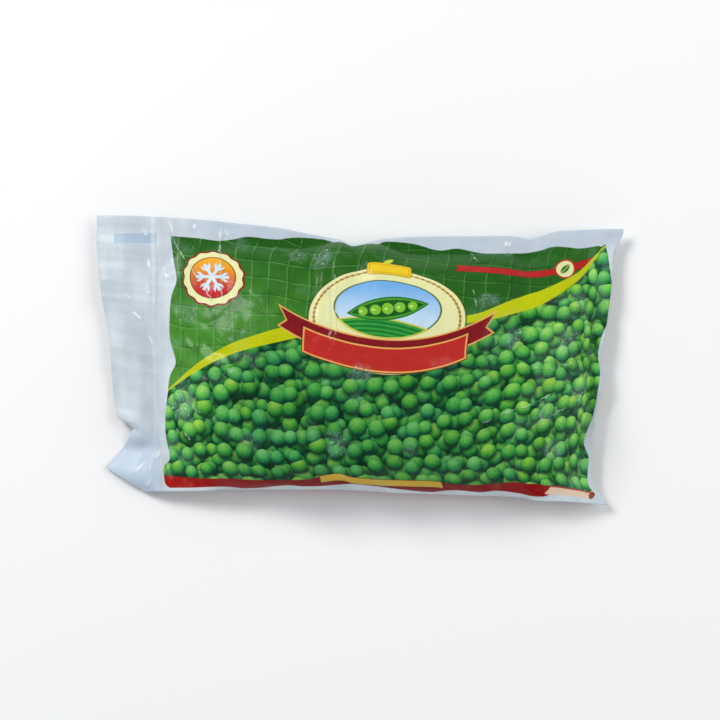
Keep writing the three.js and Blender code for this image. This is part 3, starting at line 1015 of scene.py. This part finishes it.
def ribbon(g, picture, u, v):
    """A blank red ribbon that sags, with notched dark tails behind its ends."""
    aside = g.away(u - RIBBON_MIDDLE[0])
    drop = v - aside * aside * 0.0052 - RIBBON_MIDDLE[1]
    tails = rounded_box(g, u, drop, (RIBBON_MIDDLE[0], TAILS_OVER), TAILS_HALF, 0.1)
    notch = g.away(drop - TAILS_OVER) * 0.75 + TAILS_NOTCH - aside
    tails = g.high(tails, notch * -1.0)
    band = g.high(g.away(drop) - RIBBON_HALF[1], aside - RIBBON_HALF[0])
    return g.stamp(
        picture, (ORANGE_LINE, tails), (DARK_RED, tails + 0.8),
        (srgb(90, 20, 16), band - 0.5), (ORANGE_LINE, band), (RED, band + 0.85),
    )


def plaque(g, picture, u, v):
    """A blank yellow plaque with a leaf over it, at the top of the oval."""
    centre = (127.9, 128.8)
    half = (11.0, 3.6)
    from_middle = u - centre[0]
    arch = v + from_middle * from_middle * 0.008
    box = rounded_box(g, u, arch, centre, half, 1.4)
    leaf, _, _ = leaf_shape(g, u, v, (centre[0] - 0.6, centre[1] + 5.0), 0.75, (3.6, 1.3))
    return g.stamp(
        picture, (srgb(120, 96, 20), box - 0.35), (LABEL_YELLOW, box),
        (srgb(176, 120, 24), g.away(box + 1.0) - 0.14), (srgb(196, 206, 60), leaf),
    )


def streamer(g, picture, u, v):
    """A thin blank ribbon that waves to a small disc with a leaf on it, at the upper right."""
    level = 130.6
    middle = 201.0
    half = (39.5, 2.1)
    centre = (219.6, level)
    wave = g.math("COSINE", (u - 163.0) * 0.083) * 2.5 + level
    from_wave = g.away(v - wave)
    notch = from_wave * -0.8 - u + 163.1
    strip = g.high(g.high(from_wave - half[1], g.away(u - middle) - half[0]), notch)
    disc = ellipse(g, u, v, centre, (5.7, 5.7))
    leaf, _, aside = leaf_shape(g, u, v, centre, 0.8, (4.0, 1.9))
    return g.stamp(
        picture, (srgb(98, 20, 18), strip - 0.3), (srgb(178, 38, 36), strip),
        (RED, disc - 0.5), (CREAM, disc + 0.4), (LEAF, leaf), (CREAM, g.high(aside - 0.16, leaf)),
    )


def bottom_labels(g, picture, u, over_strip):
    """A blank yellow label and a slanted cream one on the red strip."""
    yellow = rounded_box(g, u, over_strip, (125.9, -2.2), (31.5, 2.3), 0.6)
    slanted = u - over_strip * 1.07
    cream = rounded_box(g, slanted, over_strip, (233.3, -3.7), (14.0, 2.8), 0.6)
    return g.stamp(
        picture, (srgb(110, 60, 20), yellow - 0.4), (srgb(208, 174, 66), yellow),
        (srgb(176, 40, 36), cream - 0.7), (srgb(226, 200, 172), cream),
    )


def margin_film(g, u, v):
    """Milky film with nothing printed on it: soft clouds, and the blue mark on the tail."""
    place = g.vector(u, v)
    streaks = g.noise(g.vector(u, v * 0.3), 9.0, 3.0)
    cloud = g.noise(place, 30.0, 2.0)
    film = g.mix(BARE, BARE_LIGHT, g.smooth(0.25, 0.75, streaks))
    film = g.mix(film, BARE_CLOUD, g.smooth(0.4, 0.75, cloud) * 0.6)
    wing = g.smooth(34.0, 24.0, v) * g.smooth(4.0, -4.0, u)
    film = g.mix(film, BARE_WING, wing * 0.6)
    far_margin = g.smooth(136.0, 146.0, v) * g.smooth(14.0, 30.0, u)
    film = g.mix(film, BARE_FAR, far_margin * 0.6)
    mark = rounded_box(g, u, v - u * 0.09, (-11.3, 134.4), (11.4, 2.8), 0.4)
    film = g.stamp(film, (MARK_BLUE, mark), blur=0.5)
    weld = g.away(u + 1.6) - 0.9
    weld = g.smooth(0.6, -0.4, weld) * g.smooth(18.0, 50.0, v)
    film = g.mix(film, BARE_WELD, weld * 0.5)
    # Along the bare creases the film is painted near-white: painted glints with stress-whitened film.
    flicker = g.smooth(0.28, 0.48, g.noise(place, 1.7, 2.0)) * 0.8 + 0.15
    return g.mix(film, GLINT, g.smooth(0.2, 0.85, g.attribute("glint")) * flicker)


def thin_crease_lines(g, u, v):
    """How far each place is from the nearest thin crease."""
    wander = (g.noise(g.vector(u, v), 2.6, 2.0, 0.6) - 0.5) * 2.6
    nearest = 99.0
    for start, end in THIN_CREASES:
        du = end[0] - start[0]
        dv = end[1] - start[1]
        length = math.hypot(du, dv)
        along = (u - start[0]) * (du / length) + (v - start[1]) * (dv / length)
        aside = (u - start[0]) * (dv / length) - (v - start[1]) * (du / length) + wander
        past = g.high(g.high(along * -1.0, along - length), 0.0)
        nearest = g.low(nearest, g.reach(aside, past))
    return nearest


def crinkled(g, u, v):
    """How crinkled the film is, from 0 to 1."""
    place = g.vector(u, v)
    ragged = g.noise(place, 7.0, 3.0, 0.6) - 0.5
    most = g.smooth(0.62, 0.85, g.noise(place, 24.0, 2.0)) * 0.4
    for (cu, cv), radius, strength in CRINKLES:
        reach = g.reach((u - cu) / radius, (v - cv) / radius) + ragged * 1.6
        most = g.high(most, g.smooth(1.05, 0.35, reach) * strength)
    return most


def frost_and_sheen(g, u, v, crinkle):
    """Frosty haze where the film stands off the peas, with painted sheen: pale crackled patches on
    crinkled film and a veil towards the bag's ends.
    """
    crackle = g.noise(g.vector(u * 1.5, v * 0.85), 3.4, 3.0, 0.6, 1.4)
    ends = g.smooth(36.0, 8.0, u) + g.smooth(218.0, 252.0, u)
    veil = g.smooth(0.45, 0.7, g.noise(g.vector(u * 1.4, v), 13.0, 3.0)) * ends
    return g.low(crinkle * (g.smooth(0.46, 0.68, crackle) * 0.34 + 0.14) + veil * 0.14, 0.6)


def sparks(g, u, v, crinkle):
    """Painted highlights: small bright points where crinkled film would mirror a light."""
    return g.smooth(0.7, 0.8, g.noise(g.vector(u, v), 1.7, 1.0)) * g.smooth(0.25, 0.7, crinkle)


# The film's gloss.
GLOSS = {"IOR": 1.5, "Specular IOR Level": 0.1, "Coat Weight": 0.07, "Coat Roughness": 0.08}


def film_surface(g, colour, printed, u, v, crinkle, crease=None):
    """Glossy film: its gloss varies a little, and fine wrinkles too small for the mesh bump it."""
    place = g.vector(u, v)
    smear = g.noise(place, 12.0, 4.0, 0.6)
    rough = g.smooth(0.3, 0.75, smear) * 0.14 + 0.24 + (1 - printed) * 0.08 - crinkle * 0.1
    wrinkle = g.noise(place, 3.4, 2.0, 0.5, 1.2)
    fold = g.away(g.noise(g.vector(u, v * 0.55), 8.0, 1.5, 0.5, 0.8) - 0.5)
    facets = g.away(g.noise(place, 4.2, 1.5, 0.5, 1.4) - 0.5)
    facets = g.smooth(0.16, 0.0, facets) * crinkle
    height = wrinkle * 0.3 + g.smooth(0.05, 0.0, fold) * 0.22 + facets * 1.5
    if crease is not None:
        height = height + g.smooth(0.9, 0.0, crease) * 0.8
    bump = g.node("Bump", {"Strength": 0.7, "Distance": 0.4 * MM, "Height": height})
    g.feed(g.shader.inputs["Base Color"], colour)
    g.feed(g.shader.inputs["Roughness"], rough)
    g.feed(g.shader.inputs["Normal"], Term(g, bump.outputs[0]))
    for socket, value in GLOSS.items():
        g.shader.inputs[socket].default_value = value
    return g.material


def front_material():
    g = Graph("film_front")
    names = ("along", "across", "over_strip", "over_band", "under_band", "inset")
    u, v, over_strip, over_band, under_band, inset = map(g.attribute, names)

    picture = streamer(g, badge(g, woven_field(g, u, v), u, v), u, v)
    in_band = g.low(over_band, under_band)
    picture = g.stamp(picture, (printed_peas(g, u, v), over_band), (YELLOW, in_band * -1.0))
    for draw in (medallion, ribbon, plaque):
        picture = draw(g, picture, u, v)
    strip = g.mix(STRIP_RED_LEFT, STRIP_RED_MIDDLE, g.smooth(20.0, 80.0, u))
    strip = g.mix(strip, STRIP_RED, g.smooth(150.0, 205.0, u))
    picture = bottom_labels(g, g.stamp(picture, (strip, over_strip)), u, over_strip)
    crinkle = crinkled(g, u, v)
    # Painted light on crinkled film: frosty haze with painted sheen, then small painted highlights.
    picture = g.mix(picture, FROST_AND_SHEEN, frost_and_sheen(g, u, v, crinkle))
    picture = g.mix(picture, srgb(228, 240, 244), sparks(g, u, v, crinkle) * 0.7)
    crease = thin_crease_lines(g, u, v)
    broken = g.noise(g.vector(u, v), 4.0, 3.0, 0.6) + g.smooth(110.0, 60.0, u) * 0.12
    # Pale lines along the thin creases: stress-whitened film with a painted highlight.
    whitened_lit_crease = g.smooth(0.5, 0.1, crease) * g.smooth(0.42, 0.66, broken)
    picture = g.mix(picture, srgb(208, 228, 220), whitened_lit_crease * 0.6)
    printed = g.smooth(-0.15, 0.25, inset)
    colour = g.mix(margin_film(g, u, v), picture, printed)
    return film_surface(g, colour, printed, u, v, crinkle, crease)


# The back's print: how high its peas reach, and its panels as (centre, half) with their rules.
BACK_PEAS = 34.0
BACK_PANELS = [((70.0, 106.0), (46.0, 16.0)), ((188.0, 106.0), (44.0, 16.0))]
RULE_STEP = 4.6


def back_material():
    """The back: the same field, blank panels with plain rules, and the seam along the middle."""
    g = Graph("film_back")
    u, v = map(g.attribute, ("along", "across"))
    over_peas = v - BACK_PEAS - u * 0.06
    band = g.away(over_peas - 1.5) - 1.6
    picture = g.stamp(
        woven_field(g, u, v), (printed_peas(g, u, v), over_peas), (YELLOW, band),
        (STRIP_RED, v - 12.0),
    )
    rules = g.away(g.part(v / RULE_STEP) - 0.5) * RULE_STEP - 0.16
    for centre, half in BACK_PANELS:
        panel = rounded_box(g, u, v, centre, half, 3.0)
        picture = g.stamp(
            picture, (srgb(60, 96, 40), panel - 0.5), (srgb(222, 226, 190), panel),
            (srgb(84, 120, 66), g.high(rules, panel + 3.2)),
        )
    inset = rounded_box(g, u, v, (129.0, 74.0), (119.5, 69.5), 0.5)
    seam = g.away(v - 76.0) - 5.0
    clear = g.high(inset, seam * -1.0)
    printed = g.smooth(0.25, -0.15, clear)
    crinkle = crinkled(g, v + 60, u)
    # Painted sheen and frosty haze over crinkled film.
    picture = g.mix(picture, FROST_AND_SHEEN, frost_and_sheen(g, u, v, crinkle))
    colour = g.mix(margin_film(g, u, v), picture, printed)
    return film_surface(g, colour, printed, u, v, crinkle)


def add_object(name, data):
    made = bpy.data.objects.new(name, data)
    bpy.context.scene.collection.objects.link(made)
    return made


def make_bag():
    mesh = film_mesh()
    bag = add_object("pea_bag_film", mesh)
    mesh.materials.append(front_material())
    mesh.materials.append(back_material())
    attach(bag, "root")
    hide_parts("pea_bag")


# The camera looks down from the near side, high over the front.
CAMERA_ELEVATION = 83.0
CAMERA_DISTANCE = 0.8965
CAMERA_LENS = 85.0
CAMERA_SENSOR = 36.0
CAMERA_AIM = (0.001, -0.001, 0.008)


def make_camera():
    lens = bpy.data.cameras.new("camera")
    lens.lens = CAMERA_LENS
    lens.sensor_width = CAMERA_SENSOR
    camera = add_object("camera", lens)
    tilt = math.radians(CAMERA_ELEVATION)
    away = Vector((0, -math.cos(tilt), math.sin(tilt)))
    camera.location = Vector(CAMERA_AIM) + away * CAMERA_DISTANCE
    camera.rotation_euler = (math.radians(90) - tilt, 0, 0)
    bpy.context.scene.camera = camera


# The studio: its lights as (name, place, size, power), the world's light and the floor.
LIGHTS = [
    ("key", (-1.15, 0.95, 1.15), (0.8, 0.64), 26),
    ("fill", (1.4, 0.2, 1.0), (1.3, 1.1), 13),
    ("front", (0.2, -1.8, 0.6), (2.0, 0.9), 6),
]
WORLD_COLOUR = (0.93, 0.96, 1, 1)
WORLD_STRENGTH = 0.31
FLOOR_COLOUR = (0.95, 0.95, 0.95, 1)
FLOOR_ROUGHNESS = 0.95
FLOOR_HALF = 4.0


def make_floor():
    g = Graph("floor")
    g.shader.inputs["Base Color"].default_value = FLOOR_COLOUR
    g.shader.inputs["Roughness"].default_value = FLOOR_ROUGHNESS
    mesh = bpy.data.meshes.new("floor")
    turns = ((-1, -1), (1, -1), (1, 1), (-1, 1))
    corners = [(x * FLOOR_HALF, y * FLOOR_HALF, 0) for x, y in turns]
    mesh.from_pydata(corners, [], [(0, 1, 2, 3)])
    mesh.materials.append(g.material)
    floor = add_object("floor", mesh)


def make_light(name, place, size, power):
    light = bpy.data.lights.new(name, "AREA")
    light.shape = "RECTANGLE"
    light.size, light.size_y = size
    light.energy = power
    lamp = add_object(name, light)
    lamp.location = place
    lamp.rotation_euler = (-Vector(place)).to_track_quat("-Z", "Y").to_euler()


def make_studio():
    make_floor()
    for name, place, size, power in LIGHTS:
        make_light(name, place, size, power)
    world = bpy.data.worlds.new("studio")
    world.use_nodes = True
    sky = world.node_tree.nodes["Background"]
    sky.inputs["Color"].default_value = WORLD_COLOUR
    sky.inputs["Strength"].default_value = WORLD_STRENGTH
    scene = bpy.context.scene
    scene.world = world
    scene.view_settings.view_transform = "Standard"


make_camera()
make_bag()
make_studio()
